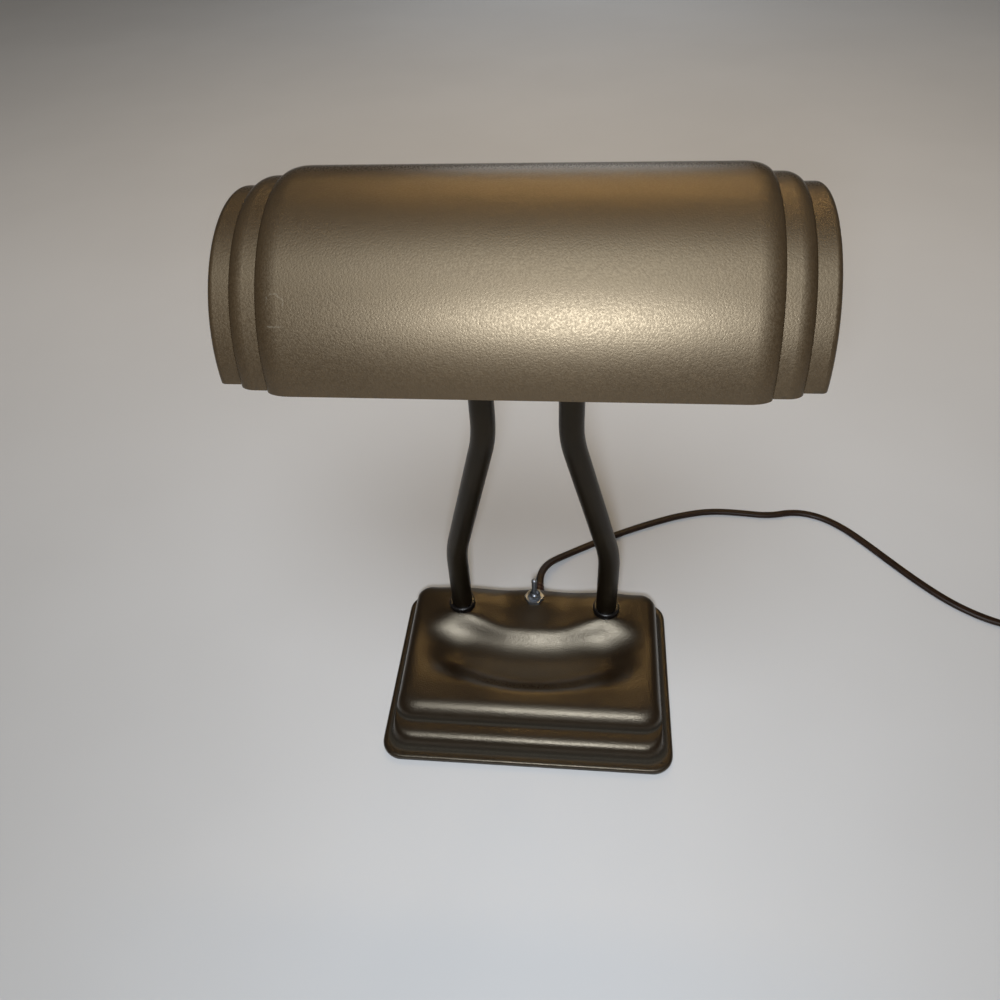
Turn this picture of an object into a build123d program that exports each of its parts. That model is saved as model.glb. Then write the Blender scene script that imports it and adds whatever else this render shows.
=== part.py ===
from build123d import *
import math
import os

# Desk lamp: a stepped half-cylinder shade on two bent arms, over a pressed base with a pen tray.
# +X is the lamp's right, +Y its back, +Z up; the origin is the centre of the underside.
# Millimetres and degrees.

# Fits
RUN_FIT = 0.05
SEAT_FIT = 0.1
LOOSE_FIT = 0.4

# Felt pad and bottom plate
FELT_T = 2.5
FELT_INSET = 1.0
PLATE_T = 1.5
PLATE_GAP = 0.6

# Base cover
BASE_W = 212.0
BASE_D = 152.0
BASE_WALL = 1.4
FLANGE_T = 3.0
FLANGE_CORNER_R = 15.0
FLANGE_EDGE_R = 2.2
FLANGE_SIDE = 5.0
FLANGE_FRONT = 8.0
FLANGE_REAR = 5.0
WALL_DRAFT = 12.0
LOWER_TOP_Z = 15.0
LOWER_EDGE_R = 7.5
LOWER_CORNER_R = 12.0
UPPER_LAP = 0.5
UPPER_FRONT_SETBACK = 17.0
UPPER_FRONT_CORNER_R = 16.0
UPPER_REAR_CORNER_R = 22.0
DECK_FRONT_Z = 26.0
DECK_RISE = 3.2
DECK_EDGE_R = 13.0

# Pen tray
TRAY_SIDE_MARGIN = 22.0
TRAY_FRONT_MARGIN = 20.0
TRAY_SEAT_GAP = 14.0
TRAY_DEPTH = 10.5
TRAY_END_DIP = 4.0
TRAY_LIP_R = 6.0

# Raised seats for the arms and the switch
SEAT_RISE = 3.9
SEAT_CREST_R = 12.8
SEAT_FOOT_R = 25.0
SEAT_BLEND = 0.12
SEAT_SKIRT = 9.0
SEAT_SKIRT_SLOPE = 18.0
SEAT_SINK = 2.0
SWITCH_SEAT_CREST_R = 8.8
SWITCH_SEAT_FOOT_R = 20.0

# Ballast, posts and bottom screws
BALLAST_W = 130.0
BALLAST_D = 60.0
BALLAST_T = 11.0
BALLAST_Y = -10.0
BALLAST_CORNER_R = 8.0
POST_FROM_SIDE = 21.0
POST_FROM_FRONT = 36.0
POST_FROM_REAR = 35.0
POST_R = 5.0
SCREW_R = 2.0
SCREW_L = 9.0
SCREW_HEAD_R = 4.0
SCREW_HEAD_T = 1.6

# Arms
ARM_R = 7.95
ARM_WALL = 1.2
ARM_FOOT_X = 57.0
ARM_FROM_REAR = 27.0
ARM_FOOT_DEPTH = 14.0
ARM_BEND_LOW_Z = 98.0
ARM_BEND_HIGH_Z = 220.0
ARM_TOP_X = 27.5
ARM_SET_FORWARD = 13.0
ARM_BEND_R = 100.0
COLLAR_WALL = 2.35
COLLAR_H = 4.5
COLLAR_EDGE_R = 1.5
ARM_WASHER_R = 11.6
ARM_WASHER_T = 1.2
ARM_NUT_AF = 19.5
ARM_NUT_T = 4.0

# Tilt joint at the top of each arm
PIVOT_Z = 334.0
ELBOW_R = 11.0
ELBOW_CAVITY_R = 7.6
ELBOW_SLEEVE_L = 20.0
ARM_STOP = 9.0
ELBOW_BOSS_R = 8.5
ELBOW_BOSS_L = 12.5
ELBOW_BORE_R = 4.6
NIPPLE_R = 5.0
NIPPLE_BORE_R = 3.2
NIPPLE_GRIP = 5.0
NIPPLE_TAIL = 6.0
FRICTION_T = 1.6
FRICTION_R = 11.0
EAR_T = 2.0
EAR_PLAY = 0.1
SPRING_T = 1.4
SPRING_R = 9.0
PIVOT_NUT_AF = 15.0
PIVOT_NUT_T = 4.0

# Shade
SHADE_R = 77.0
SHADE_SET_FORWARD = 4.0
RIM_BELOW_PIVOT = 23.5
SHADE_HALF_L = 149.0
SHADE_WALL = 1.2
RING_STEP = 4.8
RING_OUT_W = 11.7
RING_IN_W = 14.8
DRUM_SHOULDER_L = 12.0
RING_SHOULDER_L = 8.0
END_EDGE_R = 3.2

# Shade bracket
SADDLE_HALF_ANGLE = 20.0
SADDLE_T = 1.6
SADDLE_GAP = 0.1
EAR_R = 12.0

# Lamp holders and bulbs
HOLDER_R = 17.0
HOLDER_WALL = 2.0
CAP_L = 11.0
CAP_NECK_R = 9.0
CAP_WALL = 1.6
HOLDER_L = 28.0
SHELL_GAP = 0.8
SHELL_WALL = 0.6
SHELL_L = 24.0
SHELL_FLOOR = 2.0
BULB_SCREW_GAP = 0.5
BULB_BASE_L = 25.0
BULB_TIP_R = 5.0
BULB_TIP_L = 2.0
BULB_NECK_STEP = 1.1
BULB_R = 23.0
BULB_END_GAP = 4.6
BULB_GLASS_WALL = 1.0

# Wires inside the lamp
WIRE_R = 1.5
WIRE_BEND_R = 8.0
WIRE_Z = 12.0
WIRE_END_GAP = 0.3

# Toggle switch
SWITCH_FROM_REAR = 19.0
SWITCH_BODY_W = 28.0
SWITCH_BODY_D = 14.0
SWITCH_BODY_BOTTOM_Z = 8.5
SWITCH_BODY_TOP_Z = 29.0
BUSHING_SHOULDER_R = 7.5
BUSHING_R = 5.0
BUSHING_BORE_R = 3.6
BUSHING_PROUD = 5.5
SWITCH_NUT_AF = 13.6
SWITCH_NUT_T = 2.6
LEVER_PIVOT_DROP = 3.2
LEVER_BALL_R = 3.2
LEVER_ROOT_R = 1.5
LEVER_TIP_R = 2.3
LEVER_L = 17.0
LEVER_LEAN = 13.0
LEVER_PIN_R = 0.6

# Cord
CORD_D = 5.0
CORD_EXIT_X = 2.0
CORD_EXIT_Z = 12.0
GROMMET_WALL = 2.7
GROMMET_IN = 5.0
RELIEF_HEAD_R = 6.2
RELIEF_HEAD_T = 2.6
RELIEF_L = 15.0
RELIEF_ROOT_R = 4.9
RELIEF_TIP_R = 3.6
RELIEF_RIBS = 4
RELIEF_GROOVE = 0.6
RUN_SHARE = 0.45

# Coil of spare cord, its tie and the plug
COIL_X = 452.0
COIL_Y = 28.0
COIL_MEAN_R = 27.0
COIL_TURNS = 3
COIL_PITCH = 6.4
COIL_LAYER = 6.4
COIL_LIFT = 1.2
COIL_SAMPLES = 900
TIE_T = 0.9
TIE_W = 7.0
TIE_SLACK = 0.5
PLUG_FACE_L = 12.0
PLUG_GRIP_L = 20.0
PLUG_W = 25.0
PLUG_H = 15.0
PLUG_WAIST = 0.6
PLUG_EDGE_R = 3.0
PLUG_FACE_R = 1.2
PLUG_TAIL_L = 16.0
PLUG_TAIL_R = 5.6
PLUG_TAIL_TIP_R = 3.7
PLUG_TAIL_RIBS = 4
PLUG_TAIL_GROOVE = 0.7
BLADE_W = 6.3
BLADE_T = 1.5
BLADE_L = 16.0
BLADE_HOLE_R = 1.55
BLADE_HOLE_FROM_TIP = 4.0
BLADE_TIP_CUT = 1.0
BLADE_SPACING = 12.7

os.makedirs("parts", exist_ok=True)


def save(shape, node):
    export_step(shape, f"parts/{node}.step")


def save_pair(shape, node):
    """The right-hand piece and its mirror image on the left."""
    save(shape, f"right_{node}")
    save(mirror(shape, about=Plane.YZ), f"left_{node}")


def along_x(x, y, z):
    """A plane at a point whose normal runs to the right."""
    return Plane(origin=(x, y, z), x_dir=(0, 1, 0), z_dir=(1, 0, 0))


def tube_x(x0, length, y, z, outer, inner):
    """A ring or tube along X from x0."""
    ring = Circle(outer) - Circle(inner)
    return extrude(along_x(x0, y, z) * ring, length)


# Base cover: the same form outside and inside, one wall apart
BASE_Z = FELT_T
BODY_HALF_W = BASE_W / 2 - FLANGE_SIDE
BODY_FRONT_Y = -BASE_D / 2 + FLANGE_FRONT
BODY_REAR_Y = BASE_D / 2 - FLANGE_REAR
UPPER_FRONT_Y = BODY_FRONT_Y + UPPER_FRONT_SETBACK
ARM_FOOT_Y = BODY_REAR_Y - ARM_FROM_REAR
SWITCH_Y = BODY_REAR_Y - SWITCH_FROM_REAR
SEAT_R = ARM_WASHER_R + LOOSE_FIT
SWITCH_SEAT_R = BUSHING_SHOULDER_R + LOOSE_FIT
TRAY_FRONT_Y = UPPER_FRONT_Y + TRAY_FRONT_MARGIN
TRAY_REAR_Y = SWITCH_Y - SWITCH_SEAT_FOOT_R - TRAY_SEAT_GAP
TRAY_Y = (TRAY_FRONT_Y + TRAY_REAR_Y) / 2
TRAY_HALF_W = (TRAY_REAR_Y - TRAY_FRONT_Y) / 2
TRAY_HALF_L = BODY_HALF_W - TRAY_SIDE_MARGIN
GROMMET_R = CORD_D / 2 + GROMMET_WALL


def deck_z(y):
    """Height of the sloping deck at a depth y."""
    return DECK_FRONT_Z + (y - UPPER_FRONT_Y) * math.tan(math.radians(DECK_RISE))


def deck_plane(y, drop):
    """The sloping plane of the deck, or one a little below it."""
    slope = math.radians(DECK_RISE)
    upward = (0, -math.sin(slope), math.cos(slope))
    return Plane(origin=(0, y, deck_z(y) - drop), x_dir=(1, 0, 0), z_dir=upward)


def plan(half_w, front_y, rear_y, front_r, rear_r):
    """A rectangle in plan with its own corner radii at the front and the back."""
    outline = Pos(0, (front_y + rear_y) / 2) * Rectangle(2 * half_w, rear_y - front_y)
    outline = fillet(outline.vertices().group_by(Axis.Y)[0], front_r)
    return fillet(outline.vertices().group_by(Axis.Y)[-1], rear_r)


def tray_cutter(grow):
    """A long bowl: an elliptical crown turned about an axis across the lamp, above the sloping deck."""
    hub_r = (TRAY_HALF_W ** 2 - TRAY_DEPTH ** 2) / (2 * TRAY_DEPTH)
    crown_h = TRAY_DEPTH + TRAY_END_DIP
    crown_l = TRAY_HALF_L / math.sqrt(1 - (TRAY_END_DIP / crown_h) ** 2) + grow
    foot_r = hub_r - TRAY_END_DIP
    crown = EllipticalCenterArc((0, foot_r), crown_l, crown_h + grow, start_angle=0, arc_size=180)
    sides = Polyline((-crown_l, foot_r), (-crown_l, 0), (crown_l, 0), (crown_l, foot_r))
    bowl = revolve(Plane.XZ * make_face([crown, sides]), Axis.X)
    return deck_plane(TRAY_Y, 0) * Pos(0, 0, hub_r) * bowl


def swell(x, y, crest_r, foot_r, rise, drop):
    """A round swell of the deck, which rounds out of its crest and back into the deck."""
    crest = (crest_r, rise)
    foot = (foot_r, -SEAT_BLEND)
    middle = ((crest_r + foot_r) / 2, (rise - SEAT_BLEND) / 2)
    skirt = (foot_r + SEAT_SKIRT, foot[1] - SEAT_SKIRT * math.tan(math.radians(SEAT_SKIRT_SLOPE)))
    sunk_z = skirt[1] - SEAT_SINK
    round_out = TangentArc(crest, middle, tangent=(1, 0))
    round_in = TangentArc(foot, middle, tangent=(-1, 0))
    rest = Polyline(foot, skirt, (skirt[0], sunk_z), (0, sunk_z), (0, rise), crest)
    turned = revolve(Plane.XZ * make_face([round_out, round_in, rest]), Axis.Z)
    return Pos(x, 0, 0) * deck_plane(y, drop) * turned


def seat(x, y, crest_r, foot_r, level_r, wall):
    """A swell with a level seat for a fixing: faced off on top, let in from below."""
    tilt = level_r * math.tan(math.radians(DECK_RISE)) + SEAT_BLEND
    level = Pos(x, y, deck_z(y) + SEAT_RISE - wall) * Circle(level_r)
    if wall == 0:
        return swell(x, y, crest_r, foot_r, SEAT_RISE + tilt, 0) - extrude(level, SEAT_RISE)
    return swell(x, y, crest_r, foot_r, SEAT_RISE - tilt, wall) + extrude(level, -SEAT_RISE)


def base_form(wall):
    """The solid form of the cover, shrunk by a wall on every side."""
    half_w = BODY_HALF_W - wall
    front_y = BODY_FRONT_Y + wall
    rear_y = BODY_REAR_Y - wall
    lower_plan = plan(half_w, front_y, rear_y, LOWER_CORNER_R - wall, LOWER_CORNER_R - wall)
    lower = extrude(Pos(0, 0, BASE_Z) * lower_plan, LOWER_TOP_Z - wall - BASE_Z, taper=WALL_DRAFT)
    lower = fillet(lower.faces().sort_by(Axis.Z)[-1].edges(), LOWER_EDGE_R - wall)
    tall = deck_z(rear_y) + DECK_EDGE_R
    upper_plan = plan(half_w + UPPER_LAP, UPPER_FRONT_Y + wall, rear_y + UPPER_LAP,
                      UPPER_FRONT_CORNER_R - wall, UPPER_REAR_CORNER_R - wall)
    upper = extrude(Pos(0, 0, BASE_Z) * upper_plan, tall - BASE_Z, taper=WALL_DRAFT)
    upper = split(upper, deck_plane(UPPER_FRONT_Y, wall), keep=Keep.BOTTOM)
    upper = fillet(upper.faces().sort_by(Axis.Z)[-1].edges(), DECK_EDGE_R - wall)
    lift = SEAT_RISE + deck_z(SEAT_FOOT_R) - deck_z(0)
    raised = Pos(0, -lift * math.tan(math.radians(WALL_DRAFT)), lift) * upper
    tray = tray_cutter(wall)
    dished = upper - tray
    if wall == 0:
        dished = fillet(new_edges(upper, tray, combined=dished), TRAY_LIP_R)
    form = lower + dished
    for side in (-1, 1):
        form += raised & seat(side * ARM_FOOT_X, ARM_FOOT_Y, SEAT_CREST_R, SEAT_FOOT_R - wall, SEAT_R, wall)
    form += raised & seat(0, SWITCH_Y, SWITCH_SEAT_CREST_R, SWITCH_SEAT_FOOT_R - wall, SWITCH_SEAT_R, wall)
    return form


ARM_SEAT_Z = deck_z(ARM_FOOT_Y) + SEAT_RISE
SWITCH_SEAT_Z = deck_z(SWITCH_Y) + SEAT_RISE
flange = extrude(Pos(0, 0, BASE_Z) * RectangleRounded(BASE_W, BASE_D, FLANGE_CORNER_R), FLANGE_T)
flange = fillet(flange.faces().sort_by(Axis.Z)[-1].edges(), FLANGE_EDGE_R)
cover = base_form(0) + flange - base_form(BASE_WALL)
for side in (-1, 1):
    cover -= Pos(side * ARM_FOOT_X, ARM_FOOT_Y, ARM_SEAT_Z) * Cylinder(ARM_R + SEAT_FIT, 4 * SEAT_SINK)
cover -= Pos(0, SWITCH_Y, SWITCH_SEAT_Z) * Cylinder(BUSHING_R + SEAT_FIT, 4 * SEAT_SINK)
cord_hole = Plane(origin=(CORD_EXIT_X, BODY_REAR_Y + GROMMET_IN, CORD_EXIT_Z), z_dir=(0, -1, 0))
cover -= extrude(cord_hole * Circle(GROMMET_R + RUN_FIT), 3 * GROMMET_IN)
save(cover, "base_shell")

# Felt pad, bottom plate, ballast, posts and screws
POST_X = BODY_HALF_W - POST_FROM_SIDE
post_rows = (BODY_FRONT_Y + POST_FROM_FRONT, BODY_REAR_Y - POST_FROM_REAR)
post_spots = [(side * POST_X, y) for y in post_rows for side in (-1, 1)]
felt_w = BASE_W - 2 * FELT_INSET
felt_d = BASE_D - 2 * FELT_INSET
felt = extrude(RectangleRounded(felt_w, felt_d, FLANGE_CORNER_R - FELT_INSET), FELT_T)
plate_corner = LOWER_CORNER_R - BASE_WALL - PLATE_GAP
plate_plan = plan(BODY_HALF_W - BASE_WALL - PLATE_GAP, BODY_FRONT_Y + BASE_WALL + PLATE_GAP,
                  BODY_REAR_Y - BASE_WALL - PLATE_GAP, plate_corner, plate_corner)
plate = extrude(Pos(0, 0, BASE_Z) * plate_plan, PLATE_T)
PLATE_TOP_Z = BASE_Z + PLATE_T
for number, (x, y) in enumerate(post_spots, start=1):
    spot = Pos(x, y)
    felt -= spot * Cylinder(SCREW_HEAD_R + LOOSE_FIT, 2 * FELT_T)
    plate -= spot * Pos(0, 0, BASE_Z) * Cylinder(SCREW_R + SEAT_FIT, 2 * PLATE_T)
    post_sketch = Circle(POST_R) - Circle(SCREW_R + RUN_FIT)
    post = spot * extrude(Pos(0, 0, PLATE_TOP_Z) * post_sketch, deck_z(y))
    save(split(post, deck_plane(y, BASE_WALL + SEAT_FIT), keep=Keep.BOTTOM), f"base_post_{number}")
    head = extrude(Pos(0, 0, BASE_Z) * Circle(SCREW_HEAD_R), -SCREW_HEAD_T)
    shank = extrude(Pos(0, 0, BASE_Z) * Circle(SCREW_R), SCREW_L)
    save(spot * (head + shank), f"bottom_screw_{number}")
save(felt, "felt_pad")
save(plate, "bottom_plate")
ballast_plan = Pos(0, BALLAST_Y, PLATE_TOP_Z) * RectangleRounded(BALLAST_W, BALLAST_D, BALLAST_CORNER_R)
save(extrude(ballast_plan, BALLAST_T), "ballast_weight")

# Arms: bent tube, collar on the base, washer and locknut under it
ARM_TOP_Y = ARM_FOOT_Y - ARM_SET_FORWARD
arm_points = [
    (ARM_FOOT_X, ARM_FOOT_Y, ARM_SEAT_Z - ARM_FOOT_DEPTH),
    (ARM_FOOT_X, ARM_FOOT_Y, ARM_BEND_LOW_Z),
    (ARM_TOP_X, ARM_TOP_Y, ARM_BEND_HIGH_Z),
    (ARM_TOP_X, ARM_TOP_Y, PIVOT_Z - ARM_STOP),
]
arm_path = FilletPolyline(*arm_points, radius=ARM_BEND_R)
arm_section = Pos(*arm_points[0]) * (Circle(ARM_R) - Circle(ARM_R - ARM_WALL))
save_pair(sweep(arm_section, path=arm_path), "arm_tube")
arm_foot = Pos(ARM_FOOT_X, ARM_FOOT_Y, ARM_SEAT_Z)
collar = extrude(arm_foot * Circle(ARM_R + COLLAR_WALL), COLLAR_H)
collar = fillet(collar.faces().sort_by(Axis.Z)[-1].edges(), COLLAR_EDGE_R)
collar -= arm_foot * Cylinder(ARM_R + RUN_FIT, 4 * COLLAR_H)
save_pair(collar, "arm_collar")
under_seat = Pos(0, 0, -BASE_WALL) * arm_foot
washer = extrude(under_seat * (Circle(ARM_WASHER_R) - Circle(ARM_R + SEAT_FIT)), -ARM_WASHER_T)
save_pair(washer, "arm_washer")
nut_sketch = RegularPolygon(ARM_NUT_AF / 2, 6, major_radius=False) - Circle(ARM_R + RUN_FIT)
locknut = extrude(Pos(0, 0, -ARM_WASHER_T) * under_seat * nut_sketch, -ARM_NUT_T)
save_pair(locknut, "arm_locknut")

# Tilt joint: elbow, hollow nipple, friction washer, bracket ear, spring washer, nut
pivot = Pos(ARM_TOP_X, ARM_TOP_Y, PIVOT_Z)
STACK_X = ARM_TOP_X + ELBOW_BOSS_L
EAR_X = STACK_X + FRICTION_T + EAR_PLAY
SPRING_X = EAR_X + EAR_T + EAR_PLAY
PIVOT_NUT_X = SPRING_X + SPRING_T
CAP_X = PIVOT_NUT_X + PIVOT_NUT_T
elbow = pivot * Sphere(ELBOW_R)
elbow += extrude(pivot * Circle(ELBOW_R), -ELBOW_SLEEVE_L)
elbow += extrude(along_x(ARM_TOP_X, ARM_TOP_Y, PIVOT_Z) * Circle(ELBOW_BOSS_R), ELBOW_BOSS_L)
elbow -= pivot * Sphere(ELBOW_CAVITY_R)
elbow -= extrude(pivot * Circle(ELBOW_BORE_R), -ELBOW_SLEEVE_L)
elbow -= extrude(Pos(0, 0, -ARM_STOP) * pivot * Circle(ARM_R + RUN_FIT), -ELBOW_SLEEVE_L)
elbow -= extrude(along_x(ARM_TOP_X, ARM_TOP_Y, PIVOT_Z) * Circle(NIPPLE_R + RUN_FIT), 2 * ELBOW_BOSS_L)
save_pair(elbow, "arm_elbow")
nipple_x = STACK_X - NIPPLE_GRIP
nipple_l = CAP_X + NIPPLE_TAIL - nipple_x
save_pair(tube_x(nipple_x, nipple_l, ARM_TOP_Y, PIVOT_Z, NIPPLE_R, NIPPLE_BORE_R), "pivot_nipple")
ring_bore = NIPPLE_R + RUN_FIT
save_pair(tube_x(STACK_X, FRICTION_T, ARM_TOP_Y, PIVOT_Z, FRICTION_R, ring_bore), "friction_washer")
save_pair(tube_x(SPRING_X, SPRING_T, ARM_TOP_Y, PIVOT_Z, SPRING_R, ring_bore), "spring_washer")
pivot_nut = RegularPolygon(PIVOT_NUT_AF / 2, 6, major_radius=False) - Circle(ring_bore)
save_pair(extrude(along_x(PIVOT_NUT_X, ARM_TOP_Y, PIVOT_Z) * pivot_nut, PIVOT_NUT_T), "pivot_nut")

# Lamp holders and bulbs, on the pivot axis, facing outward
HOLDER_X = CAP_X + CAP_L
HOLDER_FLOOR_X = HOLDER_X + SHELL_FLOOR
SHELL_R = HOLDER_R - HOLDER_WALL - SHELL_GAP
BULB_BASE_R = SHELL_R - SHELL_WALL - BULB_SCREW_GAP
BULB_NECK_R = BULB_BASE_R - BULB_NECK_STEP
GLASS_X = HOLDER_FLOOR_X + BULB_TIP_L + BULB_BASE_L
BULB_GLASS_L = SHADE_HALF_L - SHADE_WALL - BULB_END_GAP - GLASS_X


def turned(x, points):
    """A closed outline of distance along X and radius, turned about the pivot axis from x."""
    outline = make_face(Polyline(*points, close=True))
    return Pos(x, ARM_TOP_Y, PIVOT_Z) * revolve(outline, Axis.X)


cap_points = [(0, ring_bore), (0, CAP_NECK_R), (CAP_L, HOLDER_R), (CAP_L, HOLDER_R - CAP_WALL),
              (CAP_NECK_R - NIPPLE_R, ring_bore)]
save_pair(turned(CAP_X, cap_points), "holder_cap")
holder = tube_x(HOLDER_X, HOLDER_L, ARM_TOP_Y, PIVOT_Z, HOLDER_R, HOLDER_R - HOLDER_WALL)
holder += extrude(along_x(HOLDER_X, ARM_TOP_Y, PIVOT_Z) * Circle(HOLDER_R - CAP_WALL), SHELL_FLOOR)
save_pair(holder, "holder_body")
save_pair(tube_x(HOLDER_FLOOR_X, SHELL_L, ARM_TOP_Y, PIVOT_Z, SHELL_R, SHELL_R - SHELL_WALL), "screw_shell")
bulb_base = extrude(along_x(HOLDER_FLOOR_X, ARM_TOP_Y, PIVOT_Z) * Circle(BULB_TIP_R), BULB_TIP_L)
bulb_base += extrude(along_x(GLASS_X, ARM_TOP_Y, PIVOT_Z) * Circle(BULB_BASE_R), -BULB_BASE_L)
save_pair(bulb_base, "bulb_base")


def bulb_outline(shrink):
    """Half outline of the bulb: a neck that swells into a round end."""
    ball_x = BULB_GLASS_L - BULB_R
    neck = Spline((0, BULB_NECK_R - shrink), (ball_x, BULB_R - shrink), tangents=[(1, 0), (1, 0)])
    end = RadiusArc((ball_x, BULB_R - shrink), (BULB_GLASS_L - shrink, 0), BULB_R - shrink)
    close = Polyline((BULB_GLASS_L - shrink, 0), (0, 0), (0, BULB_NECK_R - shrink))
    return make_face([neck, end, close])


glass = revolve(bulb_outline(0), Axis.X) - revolve(bulb_outline(BULB_GLASS_WALL), Axis.X)
save_pair(Pos(GLASS_X, ARM_TOP_Y, PIVOT_Z) * glass, "bulb_glass")

# Lamp wire: from the switch, up through the arm and out along the nipple to the lamp holder
wire_points = [
    (SWITCH_BODY_W / 2 + WIRE_END_GAP, SWITCH_Y, WIRE_Z),
    (ARM_FOOT_X, ARM_FOOT_Y, WIRE_Z),
    (ARM_FOOT_X, ARM_FOOT_Y, ARM_BEND_LOW_Z),
    (ARM_TOP_X, ARM_TOP_Y, ARM_BEND_HIGH_Z),
    (ARM_TOP_X, ARM_TOP_Y, PIVOT_Z),
    (HOLDER_X - WIRE_END_GAP, ARM_TOP_Y, PIVOT_Z),
]
wire_path = FilletPolyline(*wire_points, radius=[WIRE_BEND_R, ARM_BEND_R, ARM_BEND_R, WIRE_BEND_R])
wire_start = Plane(origin=wire_path @ 0, z_dir=wire_path % 0)
save_pair(sweep(wire_start * Circle(WIRE_R), path=wire_path), "lamp_wire")

# Shade: one outline of the stepped end, turned half a circle
SHADE_Y = ARM_TOP_Y - SHADE_SET_FORWARD
RIM_Z = PIVOT_Z - RIM_BELOW_PIVOT


def shoulder(x, r, length):
    """A quarter of an ellipse that rounds one step of the shade down to the next."""
    centre = (x - length, r - RING_STEP)
    return EllipticalCenterArc(centre, length, RING_STEP, start_angle=0, arc_size=90)


def shade_outline(shrink):
    """Half outline of the shade, from its middle to the closed end."""
    end_x = SHADE_HALF_L - shrink
    ring_x = end_x - RING_OUT_W
    drum_x = ring_x - RING_IN_W
    r_drum = SHADE_R - shrink
    r_ring = r_drum - RING_STEP
    r_end = r_ring - RING_STEP
    edge = END_EDGE_R - shrink
    return make_face([
        Line((0, r_drum), (drum_x - DRUM_SHOULDER_L, r_drum)),
        shoulder(drum_x, r_drum, DRUM_SHOULDER_L),
        Line((drum_x, r_ring), (ring_x - RING_SHOULDER_L, r_ring)),
        shoulder(ring_x, r_ring, RING_SHOULDER_L),
        Line((ring_x, r_end), (end_x - edge, r_end)),
        RadiusArc((end_x - edge, r_end), (end_x, r_end - edge), edge),
        Polyline((end_x, r_end - edge), (end_x, 0), (0, 0), (0, r_drum)),
    ])


half_shell = shade_outline(0) - shade_outline(SHADE_WALL)
half_shade = revolve(half_shell, Axis.X, 180)
shade = Pos(0, SHADE_Y, RIM_Z) * (half_shade + mirror(half_shade, about=Plane.YZ))
save(shade, "shade_shell")

# Shade bracket: a saddle under the roof and two ears on the nipples
saddle_r = SHADE_R - SHADE_WALL - SADDLE_GAP
saddle_ring = Circle(saddle_r) - Circle(saddle_r - SADDLE_T)
saddle_l = 2 * (EAR_X + EAR_T)
saddle = extrude(along_x(-saddle_l / 2, SHADE_Y, RIM_Z) * saddle_ring, saddle_l)
reach = saddle_r * math.sin(math.radians(SADDLE_HALF_ANGLE))
saddle &= Pos(0, SHADE_Y, RIM_Z + saddle_r) * Box(saddle_l, 2 * reach, saddle_r)
ear_disc = Pos(ARM_TOP_Y - SHADE_Y, PIVOT_Z - RIM_Z) * Circle(EAR_R)
roof_z = PIVOT_Z - RIM_Z
strap = Pos(ARM_TOP_Y - SHADE_Y, (roof_z + SHADE_R) / 2) * Rectangle(2 * EAR_R, SHADE_R - roof_z)
ear_sketch = (strap + ear_disc) & Circle(saddle_r - SADDLE_T / 2)
ear_sketch -= Pos(ARM_TOP_Y - SHADE_Y, roof_z) * Circle(NIPPLE_R + RUN_FIT)
bracket = saddle
for ear_x in (EAR_X, -EAR_X - EAR_T):
    bracket += extrude(along_x(ear_x, SHADE_Y, RIM_Z) * ear_sketch, EAR_T)
save(bracket, "shade_bracket")

# Toggle switch
body_h = SWITCH_BODY_TOP_Z - SWITCH_BODY_BOTTOM_Z
body_middle = Pos(0, SWITCH_Y, SWITCH_BODY_BOTTOM_Z + body_h / 2)
save(body_middle * Box(SWITCH_BODY_W, SWITCH_BODY_D, body_h), "switch_body")
BUSHING_TOP_Z = SWITCH_SEAT_Z + BUSHING_PROUD
LEVER_Z = BUSHING_TOP_Z - LEVER_PIVOT_DROP
bushing_foot = Pos(0, SWITCH_Y, SWITCH_BODY_TOP_Z)
shoulder_h = SWITCH_SEAT_Z - BASE_WALL - SWITCH_BODY_TOP_Z
bushing = extrude(bushing_foot * Circle(BUSHING_SHOULDER_R), shoulder_h)
bushing += extrude(bushing_foot * Circle(BUSHING_R), BUSHING_TOP_Z - SWITCH_BODY_TOP_Z)
bushing -= extrude(bushing_foot * Circle(BUSHING_BORE_R), BUSHING_TOP_Z)
lever_axis = along_x(-BUSHING_R, SWITCH_Y, LEVER_Z)
bushing -= extrude(lever_axis * Circle(LEVER_PIN_R + RUN_FIT), 2 * BUSHING_R)
save(bushing, "switch_bushing")
save(extrude(lever_axis * Circle(LEVER_PIN_R), 2 * BUSHING_R), "lever_pin")
switch_nut = RegularPolygon(SWITCH_NUT_AF / 2, 6, major_radius=False) - Circle(BUSHING_R + RUN_FIT)
save(extrude(Pos(0, SWITCH_Y, SWITCH_SEAT_Z) * switch_nut, SWITCH_NUT_T), "switch_nut")
lever_tip = LEVER_L - LEVER_TIP_R
lever_outline = Polyline((0, 0), (LEVER_ROOT_R, 0), (LEVER_TIP_R, lever_tip), (0, lever_tip), close=True)
lever = revolve(Plane.XZ * make_face(lever_outline), Axis.Z)
lever += Sphere(LEVER_BALL_R) + Pos(0, 0, lever_tip) * Sphere(LEVER_TIP_R)
lever -= extrude(along_x(-LEVER_BALL_R, 0, 0) * Circle(LEVER_PIN_R + RUN_FIT), 2 * LEVER_BALL_R)
save(Pos(0, SWITCH_Y, LEVER_Z) * Rot(-LEVER_LEAN, 0, 0) * lever, "switch_lever")

# Cord: ribbed strain relief in the rear wall, inner end, and the stretch that lies on the table
CORD_R = CORD_D / 2
CORD_OUT_Y = BODY_REAR_Y + RELIEF_L


def along_y(y):
    """A plane across the cord at the rear wall, facing back."""
    return Plane(origin=(CORD_EXIT_X, y, CORD_EXIT_Z), x_dir=(-1, 0, 0), z_dir=(0, 1, 0))



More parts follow.
